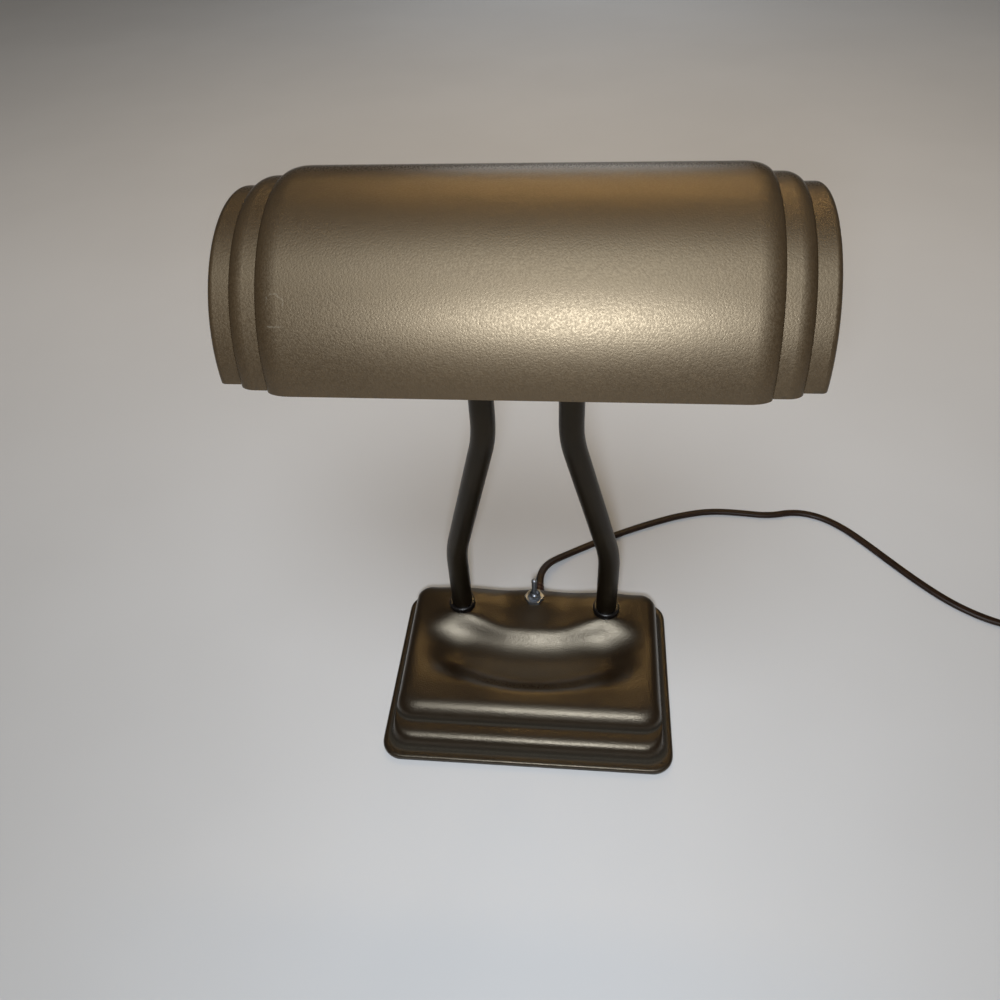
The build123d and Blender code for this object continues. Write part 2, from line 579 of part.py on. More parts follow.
def ribbed_tail(start, length, root_r, tip_r, ribs, groove):
    """Outline points of a tapered tail with ring grooves: distance along the cord and radius."""
    points = []
    for n in range(2 * ribs):
        here = n / (2 * ribs)
        after = (n + 1) / (2 * ribs)
        sunk = groove * (n % 2)
        points.append((root_r + (tip_r - root_r) * here - sunk, start + length * here))
        points.append((root_r + (tip_r - root_r) * after - sunk, start + length * after))
    return points


relief_bore = CORD_R + RUN_FIT
tail_l = RELIEF_L - RELIEF_HEAD_T
relief_points = [(relief_bore, -GROMMET_IN), (GROMMET_R, -GROMMET_IN), (GROMMET_R, 0), (RELIEF_HEAD_R, 0),
                 (RELIEF_HEAD_R, RELIEF_HEAD_T)]
relief_points += ribbed_tail(RELIEF_HEAD_T, tail_l, RELIEF_ROOT_R, RELIEF_TIP_R, RELIEF_RIBS, RELIEF_GROOVE)
relief_points.append((relief_bore, RELIEF_L))
relief = revolve(Plane.XZ * make_face(Polyline(*relief_points, close=True)), Axis.Z)
save(along_y(BODY_REAR_Y) * relief, "cord_grommet")
inner_y = SWITCH_Y + SWITCH_BODY_D / 2
save(extrude(along_y(inner_y) * Circle(CORD_R), CORD_OUT_Y - inner_y), "cord_inner_end")


def tell_tube(name, tube, path):
    """Print a tube's length and compare its volume with its section times its length."""
    full = math.pi * CORD_R ** 2 * path.length
    print(name, "length", round(path.length, 1))
    print(name, "volume over section times length", round(tube.volume / full, 5))


def cord_tube(points, name):
    """A tube along straight runs joined by arcs as large as the runs allow."""
    spots = [Vector(*p) for p in points]
    radii = []
    for before, here, after in zip(spots, spots[1:], spots[2:]):
        shorter = min((here - before).length, (after - here).length)
        half_turn = math.radians((here - before).get_angle(after - here)) / 2
        radii.append(RUN_SHARE * shorter / math.tan(half_turn))
    path = FilletPolyline(*points, radius=radii)
    tube = sweep(Plane(origin=path @ 0, z_dir=path % 0) * Circle(CORD_R), path=path)
    print(name, "radii", [round(r, 1) for r in radii])
    tell_tube(name, tube, path)
    return tube


COIL_OUT_R = COIL_MEAN_R + COIL_PITCH * COIL_TURNS / 2
COIL_Z = CORD_R + COIL_LIFT
COIL_TOP_Y = COIL_Y + COIL_OUT_R
cord_route = [
    (CORD_EXIT_X, CORD_OUT_Y, CORD_EXIT_Z), (CORD_EXIT_X, 94.6, CORD_EXIT_Z), (3.7, 103.1, 10.9),
    (7.3, 111.6, 9), (13.1, 119.9, 6.5), (21.6, 127.9, 4), (34.4, 136.8, CORD_R), (51, 146.6, CORD_R),
    (72, 158.6, CORD_R), (98, 171.5, CORD_R), (126, 181.5, CORD_R), (155, 188.5, CORD_R),
    (182, 188.5, CORD_R), (208, 187.5, CORD_R), (232, 190.5, CORD_R), (254, 186, CORD_R),
    (272, 174, CORD_R), (287, 157, CORD_R), (303, 136, CORD_R), (322, 112, CORD_R), (343, 90, CORD_R),
    (368, 74, CORD_R), (395, 66, 3), (422, COIL_TOP_Y, COIL_Z), (COIL_X - CORD_D, COIL_TOP_Y, COIL_Z),
]
save(cord_tube(cord_route, "power_cord"), "power_cord")


# Coil: in along one layer, up a layer where it turns back, out along the next
def coil_spot(half_turns):
    """Point and heading of the cord after a number of half turns, clockwise from the back of the coil."""
    into = 2 * COIL_TURNS
    angle = math.pi / 2 - math.pi * half_turns
    if half_turns <= into:
        radius = COIL_OUT_R - COIL_PITCH * half_turns / 2
        height = 0.0
    elif half_turns <= into + 1:
        radius = COIL_OUT_R - COIL_PITCH * into / 2
        height = COIL_LAYER * (half_turns - into)
    else:
        radius = COIL_OUT_R - COIL_PITCH * into / 2 + COIL_PITCH * (half_turns - into - 1) / 2
        height = COIL_LAYER
    spot = Vector(COIL_X + radius * math.cos(angle), COIL_Y + radius * math.sin(angle), COIL_Z + height)
    return spot, Vector(math.sin(angle), -math.cos(angle), 0)


def biarc(start, start_dir, end, end_dir):
    """Two arcs that leave one point and reach another along given headings."""
    across = end - start
    both = start_dir + end_dir
    spread = 2 * (1 - start_dir.dot(end_dir))
    lean = across.dot(both)
    reach_l = (-lean + math.sqrt(lean ** 2 + spread * across.dot(across))) / spread
    corner = start + start_dir * reach_l
    next_corner = end - end_dir * reach_l
    middle = (corner + next_corner) / 2
    first = TangentArc(start, middle, tangent=start_dir)
    second = TangentArc(middle, end, tangent=next_corner - corner)
    return [first, second]


coil_half_turns = 4 * COIL_TURNS + 2
coil_spots = [coil_spot(n) for n in range(coil_half_turns + 1)]
coil_edges = [Line(coil_spots[0][0] - coil_spots[0][1] * CORD_D, coil_spots[0][0])]
for (spot, heading), (next_spot, next_heading) in zip(coil_spots, coil_spots[1:]):
    coil_edges += biarc(spot, heading, next_spot, next_heading)
coil_edges.append(Line(coil_spots[-1][0], coil_spots[-1][0] + coil_spots[-1][1] * CORD_D))
coil_path = Wire([edge.edge() for edge in coil_edges])
coil = sweep(Plane(origin=coil_path @ 0, z_dir=coil_path % 0) * Circle(CORD_R), path=coil_path)
tell_tube("cord_coil", coil, coil_path)
samples = [coil_path @ (n / COIL_SAMPLES) for n in range(COIL_SAMPLES + 1)]
apart = int(COIL_SAMPLES * COIL_MEAN_R / coil_path.length)
least = min((a - b).length for n, a in enumerate(samples) for b in samples[n + apart:])
print("cord_coil least gap to itself", round(least - CORD_D, 2))
save(coil, "cord_coil")

# The cord's end from the coil to the plug
coil_end = coil_path @ 1
end_route = [
    (coil_end.X, coil_end.Y, coil_end.Z), (470, coil_end.Y, coil_end.Z), (484, 64.6, 7.8), (499, 62, 6.4),
    (514, 58.6, 6.4), (528, 54.6, PLUG_H / 2), (541, 50.4, PLUG_H / 2),
]
save(cord_tube(end_route, "cord_end"), "cord_end")

# Tie round the coil
tie_in_r = COIL_OUT_R - COIL_PITCH * COIL_TURNS - CORD_R - TIE_SLACK
tie_out_r = COIL_OUT_R + CORD_R + TIE_SLACK
tie_low = TIE_T
tie_high = COIL_Z + COIL_LAYER + CORD_R + TIE_SLACK
tie_w = tie_out_r - tie_in_r
tie_h = tie_high - tie_low
tie_ring = RectangleRounded(tie_w + 2 * TIE_T, tie_h + 2 * TIE_T, CORD_R + TIE_T)
tie_ring -= RectangleRounded(tie_w, tie_h, CORD_R)
tie_at = along_x(COIL_X - TIE_W / 2, COIL_Y - (tie_in_r + tie_out_r) / 2, (tie_low + tie_high) / 2)
save(extrude(tie_at * tie_ring, TIE_W), "cord_tie")

# Plug with two blades: a ribbed tail, a waisted grip and a square face
last_run = Vector(*end_route[-1]) - Vector(*end_route[-2])
plug_at = Plane(origin=end_route[-1], x_dir=(-last_run.Y, last_run.X, 0), z_dir=(last_run.X, last_run.Y, 0))
tail_points = [(0, 0)]
tail_points += ribbed_tail(0, PLUG_TAIL_L, PLUG_TAIL_TIP_R, PLUG_TAIL_R, PLUG_TAIL_RIBS, PLUG_TAIL_GROOVE)
tail_points.append((0, PLUG_TAIL_L))
tail = plug_at * revolve(Plane.XZ * make_face(Polyline(*tail_points, close=True)), Axis.Z)
FACE_L = PLUG_TAIL_L + PLUG_GRIP_L
waist = RectangleRounded(PLUG_W * PLUG_WAIST, PLUG_H * PLUG_WAIST + PLUG_EDGE_R, PLUG_EDGE_R)
face = RectangleRounded(PLUG_W, PLUG_H, PLUG_EDGE_R)
grip = loft([plug_at.offset(PLUG_TAIL_L) * waist, plug_at.offset(FACE_L) * face])
block = extrude(plug_at.offset(FACE_L) * face, PLUG_FACE_L)
block = fillet(block.faces().sort_by(Axis((0, 0, 0), plug_at.z_dir))[-1].edges(), PLUG_FACE_R)
save(tail + grip + block, "plug_body")
blade_outline = Rectangle(BLADE_W, BLADE_L, align=(Align.CENTER, Align.MIN))
blade_outline = chamfer(blade_outline.vertices().group_by(Axis.Y)[-1], BLADE_TIP_CUT)
blade_outline -= Pos(0, BLADE_L - BLADE_HOLE_FROM_TIP) * Circle(BLADE_HOLE_R)
blade = extrude(Plane.YZ * blade_outline, BLADE_T / 2, both=True)
for number, side in enumerate((-1, 1), start=1):
    stands = plug_at.offset(FACE_L + PLUG_FACE_L) * Pos(side * BLADE_SPACING / 2, 0)
    save(stands * blade, f"plug_blade_{number}")
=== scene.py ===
import math
import bpy
from mathutils import Matrix, Vector


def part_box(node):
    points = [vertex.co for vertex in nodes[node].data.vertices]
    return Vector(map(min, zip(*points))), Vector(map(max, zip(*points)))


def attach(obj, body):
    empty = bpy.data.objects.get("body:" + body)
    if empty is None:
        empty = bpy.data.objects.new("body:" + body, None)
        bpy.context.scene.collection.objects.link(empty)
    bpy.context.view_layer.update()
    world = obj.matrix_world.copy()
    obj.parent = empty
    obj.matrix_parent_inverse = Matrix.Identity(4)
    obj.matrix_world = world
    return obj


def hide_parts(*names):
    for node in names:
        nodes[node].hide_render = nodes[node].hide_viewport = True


# Desk lamp with a stepped shade, two bent arms and a pen-tray base. Metres, +Z up, +Y away from the viewer.

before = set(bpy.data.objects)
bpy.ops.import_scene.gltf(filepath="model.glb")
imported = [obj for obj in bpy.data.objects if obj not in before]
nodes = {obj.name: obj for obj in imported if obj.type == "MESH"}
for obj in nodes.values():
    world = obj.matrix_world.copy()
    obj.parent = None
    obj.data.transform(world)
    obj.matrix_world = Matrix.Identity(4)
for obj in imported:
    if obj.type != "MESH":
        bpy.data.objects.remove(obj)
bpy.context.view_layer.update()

# How near counts as on an edge, and as one and the same point
SLACK = 1e-5
MERGE_GAP = 1e-6

# Camera, as the photograph was taken: angles in degrees
LENS_MM = 29.43
CAMERA_SPOT = Vector((0.0336, -0.36305, 0.5493))
CAMERA_PITCH = 44.04
CAMERA_YAW = -7.72
CAMERA_ROLL = 3.69
CAMERA_NEAR = 0.01

# Flat two-core cord: it turns on edge into the coil, and lies flat again before the plug
CORD_W = 0.0065
CORD_T = 0.004
CORD_FLOOR_Z = CORD_T / 2
CORD_EXIT = (0.002, 0.086, 0.012)
COIL_X = 0.452
COIL_Y = 0.028
COIL_OUT_R = 0.0366
COIL_PITCH = 0.0064
COIL_TURNS = 3
COIL_LAYER = 0.0066
COIL_LOW_Z = 0.0041
COIL_POINTS_PER_TURN = 16
ON_EDGE_X = (0.36, 0.415)
FLAT_AGAIN_X = (0.49, 0.53)
CORD_LINE_STEPS = 5
LOBE_SIDES = 9
CORD_SMOOTH_ANGLE = 50

# Tie and felt
TIE_T = 0.0009
TIE_BEND_R = 0.003
TIE_BEND_STEPS = 8
TIE_SMOOTH_ANGLE = 40
FELT_CORNER_R = 0.014
FELT_CORNER_STEPS = 10
FELT_HOLE_R = 0.0044
FELT_HOLE_SIDES = 32
FELT_SMOOTH_ANGLE = 30
SCREW_COUNT = 4

# Pressed base
BASE_CORNER_R = 0.015
BASE_CORNER_STEPS = 6
BASE_LONG_CUTS = 30
BASE_SHORT_CUTS = 18
BASE_SHEET_T = 0.0012
BASE_ROUNDING = 2
BASE_SMOOTH_ANGLE = 180
BASE_RISE = math.radians(3.2)
FLANGE_CREASE_Z = 0.0056
STEP_CREASE_Z = 0.0156

# Its loops from the felt up: half width, front, rear, height at the front and slope to the rear
BASE_LOOPS = [
    (0.1060, -0.0760, 0.0760, 0.0025, 0.0),
    (0.1060, -0.0760, 0.0760, 0.0038, 0.0),
    (0.1054, -0.0754, 0.0754, 0.0052, 0.0),
    (0.1040, -0.0740, 0.0740, 0.0055, 0.0),
    (0.1014, -0.0686, 0.0714, FLANGE_CREASE_Z, 0.0),
    (0.1004, -0.0674, 0.0704, 0.0066, 0.0),
    (0.0994, -0.0664, 0.0694, 0.0100, 0.0),
    (0.0986, -0.0640, 0.0686, 0.0136, 0.0),
    (0.0983, -0.0602, 0.0683, 0.0154, 0.0),
    (0.0982, -0.0540, 0.0682, 0.0155, 0.0),
    (0.0981, -0.0514, 0.0681, STEP_CREASE_Z, 0.0),
    (0.0980, -0.0508, 0.0680, 0.0162, 0.0),
    (0.0974, -0.0500, 0.0674, 0.0196, BASE_RISE / 2),
    (0.0962, -0.0474, 0.0662, 0.0226, BASE_RISE),
    (0.0936, -0.0440, 0.0636, 0.0254, BASE_RISE),
    (0.0894, -0.0396, 0.0594, 0.0266, BASE_RISE),
    (0.0840, -0.0346, 0.0544, 0.0269, BASE_RISE),
]

# Deck: where its grid starts on the last loop, a height just below it before pressing, and its smoothing
BASE_GRID_TURN = 8
DECK_LOW_Z = 0.0262
DECK_SMOOTHING = 4
DECK_SMOOTH_SHARE = 0.5

# Tray: its lowest line bends back towards the ends, with a round slope behind it and a soft one in front
TRAY_SPINE_Y = -0.009
TRAY_CURVE = 3.5
TRAY_DEPTH = 0.0104
TRAY_CORE_W = 0.005
TRAY_END_SHARE = 0.85
TRAY_REAR_L = 0.06
TRAY_REAR_REACH = 0.0255
TRAY_FRONT_L = 0.07
TRAY_FRONT_REACH = 0.0185

# Raised seats of the two arms and the switch: x, y, height, radius of the level top and reach of the swell
SEATS = [
    (-0.057, 0.044, 0.03521, 0.0135, 0.024),
    (0.057, 0.044, 0.03521, 0.0135, 0.024),
    (0.0, 0.052, 0.03566, 0.009, 0.02),
]
SEAT_LIFT = 0.0036
SEAT_LEVEL_SHARE = 0.9

# Shade: the lining inside, the chips along its rim and the scratch on its front
shade_low, shade_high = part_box("shade_shell")
SHADE_Y = (shade_low.y + shade_high.y) / 2
RIM_Z = shade_low.z
LINING_EDGE = (-0.002, -0.001)
CHIPS_SCALE = 260.0
CHIPS_AMOUNT = (0.6, 0.63)
CHIPS_Z = (RIM_Z + 0.0008, RIM_Z + 0.0026)
SCRATCH_X = -0.1115
SCRATCH_Z = 0.3535
SCRATCH_R = 0.0042
SCRATCH_W = 0.0002
SCRATCH_BACK_Y = (SHADE_Y - 0.02, SHADE_Y - 0.01)
SCRATCH_WAVER_SCALE = 240.0
SCRATCH_BREAK_SCALE = 700.0
SCRATCH_BREAKS = (0.42, 0.55)

# Lacquer: the scales of its noises, the height of its grain, and how smooth it looks at a low angle
PEBBLE_SCALE = 1000.0
FLAKE_SCALE = 2400.0
CLOUD_SCALE = 14.0
MOTTLE_SCALE = 420.0
GRAIN_HEIGHT = 0.00024
LOW_ANGLE = (0.45, 0.95)
LOW_ANGLE_ROUGH = 0.2
ROUGH_SPREAD = 0.05
SHADE_GRAIN = 0.9
SHADE_ROUGH = 0.47
SHADE_IOR = 2.1
BASE_GRAIN = 1.4
BASE_ROUGH = 0.33
BASE_IOR = 1.68
# Painted shade in the base's two creases: the edge of its mask, how far up the wall it fades, and the
# roughness it adds
CREASE_SHADE_EDGE = 0.0001
CREASE_SHADE_FADE = (0.001, 0.004)
CREASE_SHADE_ROUGH = 0.5

# Enamel of the arms
ARM_FINE_SCALE = 900.0
ARM_CLOUD_SCALE = 30.0
ARM_GRAIN_HEIGHT = 0.0001
ARM_ROUGH = (0.3, 0.42)
ARM_IOR = 1.35

# Colours: a pair is the darker and the lighter tone of one finish
BASE_BROWNS = ((0.005, 0.002, 0.0006), (0.009, 0.004, 0.0013))
SHADE_BROWNS = ((0.018, 0.0092, 0.003), (0.03, 0.017, 0.0066))
ARM_BROWNS = ((0.004, 0.0026, 0.0012), (0.008, 0.0052, 0.0024))
NICKELS = ((0.26, 0.28, 0.31), (0.36, 0.38, 0.41))
BRASSES = ((0.62, 0.44, 0.19), (0.74, 0.56, 0.28))
FLOOR_GREYS = ((0.53, 0.53, 0.53), (0.83, 0.84, 0.86))
# The colour of the painted shade in the base's creases
CREASE_SHADE = (0.002, 0.001, 0.0004)
CHIPPED = (0.012, 0.007, 0.004)
SCRATCHED = (0.07, 0.058, 0.042)
WHITE_ENAMEL = (0.7, 0.67, 0.6)
SHADE_SHEEN = (1.0, 0.82, 0.57, 1)
BASE_SHEEN = (1.0, 0.88, 0.68, 1)
ARM_SHEEN = (1.0, 0.85, 0.65, 1)
COOL_LIGHT = (0.9, 0.95, 1.0)
FLASH_LIGHT = (0.88, 0.93, 1.0)
AMBER_LIGHT = (1.0, 0.66, 0.28)
WORLD_LIGHT = (1.0, 0.88, 0.72, 1)

# Finishes that differ only in tones, roughness, metal, scale of the spots and height of the bump
PLAIN_FINISHES = {
    "collar_black": dict(tones=((0.002, 0.0015, 0.0015), (0.004, 0.003, 0.003)), rough=0.3, scale=300.0),
    "zinc_steel": dict(tones=((0.5, 0.5, 0.5), (0.62, 0.61, 0.58)), rough=0.35, metal=1.0),
    "nickel": dict(tones=NICKELS, rough=0.46, metal=1.0, scale=600.0),
    "cast_iron": dict(tones=((0.03, 0.028, 0.026), (0.06, 0.05, 0.045)), rough=0.6, metal=0.4, scale=250.0,
                      bump=0.0004),
    "felt": dict(tones=((0.012, 0.012, 0.011), (0.03, 0.028, 0.024)), rough=0.9, scale=700.0, bump=0.0005),
    "elbow_metal": dict(tones=((0.045, 0.034, 0.02), (0.08, 0.06, 0.036)), rough=0.4, metal=0.7),
    "brass": dict(tones=BRASSES, rough=0.3, metal=1.0),
    "fibre": dict(tones=((0.12, 0.03, 0.015), (0.2, 0.06, 0.03)), rough=0.7, scale=500.0, bump=0.0002),
    "bakelite": dict(tones=((0.012, 0.009, 0.007), (0.025, 0.018, 0.013)), rough=0.28),
    "bulb_glass": dict(tones=((0.86, 0.86, 0.83), (0.92, 0.92, 0.9)), rough=0.35, scale=900.0),
    "wire_cover": dict(tones=((0.02, 0.02, 0.02), (0.05, 0.05, 0.05)), rough=0.5),
    "cord_brown": dict(tones=((0.012, 0.0048, 0.002), (0.02, 0.0082, 0.0034)), rough=0.42, scale=120.0,
                       IOR=1.35),
    "plug_brown": dict(tones=((0.03, 0.011, 0.007), (0.05, 0.02, 0.012)), rough=0.34, scale=300.0),
    "tie_black": dict(tones=((0.01, 0.01, 0.01), (0.03, 0.03, 0.03)), rough=0.75, scale=900.0, bump=0.0004),
}

# Screw threads, floor and world
SWITCH_THREAD_PITCH = 0.0009
SWITCH_THREAD_ROUGH = 0.42
BULB_THREAD_PITCH = 0.0036
BULB_THREAD_ROUGH = 0.28
THREAD_SPOTS_SCALE = 500.0
FLOOR_SIZE = 8
# Painted light on the floor: it goes from its darker grey at the first y to its lighter grey at the second,
# so it is lighter at the back where the lamps reach less
FLOOR_PAINTED_LIGHT_Y = (-0.3, 0.7)
FLOOR_CLOUD_SCALE = 3.0
FLOOR_ROUGH = 0.7
WORLD_STRENGTH = 0.1
FLASH_OFFSET = Vector((-0.006, -0.03, -0.02))


class Wire:
    """A shader socket that can stand in an expression; each operator adds a Math node."""

    def __init__(self, finish, socket):
        self.finish = finish
        self.socket = socket

    def math(self, operation, *others):
        values = {0: self}
        values.update(enumerate(others, start=1))
        return self.finish.node("ShaderNodeMath", {"operation": operation}, values)

    def __add__(self, other):
        return self.math("ADD", other)

    def __radd__(self, other):
        return self.math("ADD", other)

    def __sub__(self, other):
        return self.math("SUBTRACT", other)

    def __rsub__(self, other):
        return self.finish.node("ShaderNodeMath", {"operation": "SUBTRACT"}, {0: other, 1: self})

    def __mul__(self, other):
        return self.math("MULTIPLY", other)

    def __rmul__(self, other):
        return self.math("MULTIPLY", other)

    def __abs__(self):
        return self.math("ABSOLUTE")

    def ramp(self, low, high, start=0.0, end=1.0):
        """A smooth step from start to end as the value goes from low to high."""
        settings = {"interpolation_type": "SMOOTHSTEP"}
        sockets = {"Value": self, "From Min": low, "From Max": high, "To Min": start, "To Max": end}
        return self.finish.node("ShaderNodeMapRange", settings, sockets)

    def spread(self, start=0.0, end=1.0, margin=0.3):
        """The middle of a noise's range drawn out from start to end."""
        return self.ramp(margin, 1 - margin, start, end)

    def mix(self, *colours):
        """From one colour to another as the value goes from 0 to 1."""
        first, last = [colour if isinstance(colour, Wire) else (*colour, 1) for colour in colours]
        return self.finish.node("ShaderNodeMix", {"data_type": "RGBA"}, {0: self, 6: first, 7: last}, out=2)


class Finish:
    """A material with a Principled shader, built node by node."""

    def __init__(self, name):
        self.material = bpy.data.materials.new(name)
        self.material.use_nodes = True
        self.tree = self.material.node_tree
        self.shader = self.tree.nodes["Principled BSDF"]

    def node(self, kind, settings=None, sockets=None, out=0):
        made = self.tree.nodes.new(kind)
        for key, value in (settings or {}).items():
            setattr(made, key, value)
        self.fill(made, sockets or {})
        return Wire(self, made.outputs[out])

    def fill(self, node, sockets):
        for key, value in sockets.items():
            if isinstance(value, Wire):
                self.tree.links.new(value.socket, node.inputs[key])
            else:
                node.inputs[key].default_value = value

    def set(self, **sockets):
        """Sockets of the Principled shader, with _ for a space."""
        self.fill(self.shader, {key.replace("_", " "): value for key, value in sockets.items()})

    def coords(self):
        """Object coordinates, which keep a pattern fixed to its piece."""
        return self.node("ShaderNodeTexCoord", out="Object")

    def parts(self, vector):
        """The three components of a vector as values."""
        first = self.node("ShaderNodeSeparateXYZ", None, {0: vector})
        return [Wire(self, socket) for socket in first.socket.node.outputs]

    def axes(self):
        """The three Object coordinates as values."""
        return self.parts(self.coords())

    def noise(self, scale, detail):
        sockets = {"Vector": self.coords(), "Scale": scale, "Detail": detail}
        return self.node("ShaderNodeTexNoise", None, sockets)

    def bump(self, height, distance, strength):
        sockets = {"Height": height, "Distance": distance, "Strength": strength}
        self.set(Normal=self.node("ShaderNodeBump", None, sockets))


# Camera
def place_camera():
    pitch, yaw, roll = (math.radians(angle) for angle in (CAMERA_PITCH, CAMERA_YAW, CAMERA_ROLL))
    forward = Vector((math.sin(yaw) * math.cos(pitch), math.cos(yaw) * math.cos(pitch), -math.sin(pitch)))
    level = Vector((math.cos(yaw), -math.sin(yaw), 0))
    down = forward.cross(level)
    across = level * math.cos(roll) + down * math.sin(roll)
    under = down * math.cos(roll) - level * math.sin(roll)
    turn = Matrix((across, -under, -forward)).transposed().to_4x4()
    camera = bpy.data.objects.new("camera", bpy.data.cameras.new("camera"))
    camera.data.lens = LENS_MM
    camera.data.clip_start = CAMERA_NEAR
    camera.matrix_world = Matrix.Translation(CAMERA_SPOT) @ turn
    bpy.context.scene.collection.objects.link(camera)
    bpy.context.scene.camera = camera


# Cord
def cord_points():
    """Control points of the cord: out of the base, over the table, round the coil and on to the plug."""
    x, y, z = CORD_EXIT
    low = CORD_FLOOR_Z
    out = [
        (x, 0.066, z), (x, 0.078, z), (x, y, z), (x, 0.0946, z), (0.0037, 0.1031, 0.0107),
        (0.0073, 0.1116, 0.0085), (0.0131, 0.1199, 0.0056), (0.0216, 0.1279, 0.0029), (0.0344, 0.1368, low),
        (0.051, 0.147, low), (0.072, 0.159, low), (0.098, 0.1718, low), (0.126, 0.1838, low),
        (0.155, 0.1912, low), (0.182, 0.1902, low), (0.208, 0.1872, low), (0.232, 0.1938, low),
        (0.254, 0.1884, low), (0.272, 0.1748, low), (0.287, 0.157, low), (0.303, 0.136, low),
        (0.322, 0.112, low), (0.343, 0.09, low), (0.368, 0.074, 0.002), (0.395, 0.066, 0.0032),
        (0.422, 0.0646, COIL_LOW_Z), (0.440, 0.0646, COIL_LOW_Z),
    ]
    into = 2 * COIL_TURNS
    half = COIL_POINTS_PER_TURN // 2
    coil = []
    for step in range((2 * into + 2) * half + 1):
        turned = step / half
        shrink = min(turned, into) - max(turned - into - 1, 0)
        radius = COIL_OUT_R - COIL_PITCH * shrink / 2
        climb = COIL_LAYER * min(max(turned - into, 0), 1)
        angle = math.pi / 2 - math.pi * turned
        across = radius * math.cos(angle)
        along = radius * math.sin(angle)
        coil.append((COIL_X + across, COIL_Y + along, COIL_LOW_Z + climb))
    top_y, top_z = coil[-1][1:]
    end = [
        (0.464, top_y, top_z), (0.474, 0.0662, 0.0094), (0.486, 0.0644, 0.0074), (0.499, 0.062, 0.0064),
        (0.514, 0.0586, 0.0064), (0.528, 0.0546, 0.0073), (0.541, 0.0504, 0.0075),
    ]
    return out + coil + end


def cord_line():
    """Points along one smooth spline that the cord's control points lead."""
    curve = bpy.data.curves.new("cord_route", "CURVE")
    curve.dimensions = "3D"
    spline = curve.splines.new("NURBS")
    points = cord_points()
    spline.points.add(len(points) - 1)
    for point, spot in zip(spline.points, points):
        point.co = (*spot, 1)
    spline.order_u = 3
    spline.use_endpoint_u = True
    spline.resolution_u = CORD_LINE_STEPS
    route = bpy.data.objects.new("cord_route", curve)
    bpy.context.scene.collection.objects.link(route)
    bpy.context.view_layer.update()
    line = bpy.data.meshes.new_from_object(route)
    spots = [vertex.co.copy() for vertex in line.vertices]
    bpy.data.objects.remove(route)
    bpy.data.meshes.remove(line)
    moved_on = [spot for before, spot in zip(spots, spots[1:]) if (spot - before).length > MERGE_GAP]
    return spots[:1] + moved_on


def smooth_step(value, low, high):
    share = min(max((value - low) / (high - low), 0), 1)
    return share * share * (3 - 2 * share)


def cord_section():
    """Two round cores side by side, with a groove between them."""
    core_r = CORD_T / 2
    core_x = CORD_W / 2 - core_r
    groove = math.pi - math.acos(core_x / core_r)
    angles = [groove * (2 * n / (LOBE_SIDES - 1) - 1) for n in range(LOBE_SIDES)]
    right = [(core_x + core_r * math.cos(a), core_r * math.sin(a)) for a in angles]
    left = [(-x, -y) for x, y in right]
    return right + left[1:-1]


def make_cord():
    """The cord as a mesh tube: flat on the table, turned on edge in the coil."""
    line = cord_line()
    section = cord_section()
    sides = len(section)
    verts = []
    for before, spot, after in zip([line[0]] + line, line, line[1:] + [line[-1]]):
        heading = (after - before).normalized()
        across = heading.cross(Vector((0, 0, 1))).normalized()
        upward = across.cross(heading)
        edge_turn = math.pi / 2 * (smooth_step(spot.x, *ON_EDGE_X) - smooth_step(spot.x, *FLAT_AGAIN_X))
        wide = across * math.cos(edge_turn) + upward * math.sin(edge_turn)
        thick = upward * math.cos(edge_turn) - across * math.sin(edge_turn)
        verts += [spot + wide * x + thick * y for x, y in section]
    faces = []
    for ring in range(len(line) - 1):
        for side in range(sides):
            here = ring * sides + side
            beside = ring * sides + (side + 1) % sides
            faces.append((here, beside, beside + sides, here + sides))
    faces.append(tuple(reversed(range(sides))))
    faces.append(tuple(range((len(line) - 1) * sides, len(line) * sides)))
    mesh = bpy.data.meshes.new("flat_cord")
    mesh.from_pydata(verts, [], faces)
    cord = bpy.data.objects.new("flat_cord", mesh)
    bpy.context.scene.collection.objects.link(cord)
    tidy_mesh(cord, CORD_SMOOTH_ANGLE)
    return cord, line


# Modelling helpers
def only(piece):
    """Deselect everything else and make one piece active."""
    if bpy.context.mode != "OBJECT":
        bpy.ops.object.mode_set(mode="OBJECT")
    bpy.ops.object.select_all(action="DESELECT")
    piece.select_set(True)
    bpy.context.view_layer.objects.active = piece


def start(name, add, spot, size, rotation=(0, 0, 0)):
    """A new plane or cube at a spot, drawn out to a size, with its transform applied."""
    bpy.ops.object.select_all(action="DESELECT")
    add(size=1, location=spot, rotation=rotation)
    piece = bpy.context.object
    piece.name = name
    piece.scale = size
    bpy.ops.object.transform_apply(location=True, rotation=True, scale=True)
    return piece


def round_outline(radius, steps):
    """Go into edit mode, round a plane's corners and leave only its outline."""
    bpy.ops.object.mode_set(mode="EDIT")
    bpy.ops.mesh.select_all(action="SELECT")
    bpy.ops.mesh.bevel(offset=radius, segments=steps, affect="VERTICES")
    bpy.ops.mesh.delete(type="ONLY_FACE")


def tidy_mesh(piece, smooth_angle):
    """Merge doubles, turn the faces outwards and smooth all but the sharp edges."""
    only(piece)
    bpy.ops.object.mode_set(mode="EDIT")
    bpy.ops.mesh.select_all(action="SELECT")
    bpy.ops.mesh.remove_doubles(threshold=MERGE_GAP)
    bpy.ops.mesh.normals_make_consistent(inside=False)
    bpy.ops.object.mode_set(mode="OBJECT")
    bpy.ops.object.shade_smooth_by_angle(angle=math.radians(smooth_angle))


def modify(piece, kind, **settings):
    """Add a modifier with its settings, and apply it."""
    only(piece)
    modifier = piece.modifiers.new(kind.lower(), kind)
    for key, value in settings.items():
        setattr(modifier, key, value)
    bpy.ops.object.modifier_apply(modifier=modifier.name)


def dress(piece, slot, *replaced):
    """Finish, slot and body of a new piece, and the nodes that it stands for."""
    piece.data.materials.clear()
    piece.data.materials.append(finishes[slot].material)
    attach(piece, "stand")
    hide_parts(*replaced)


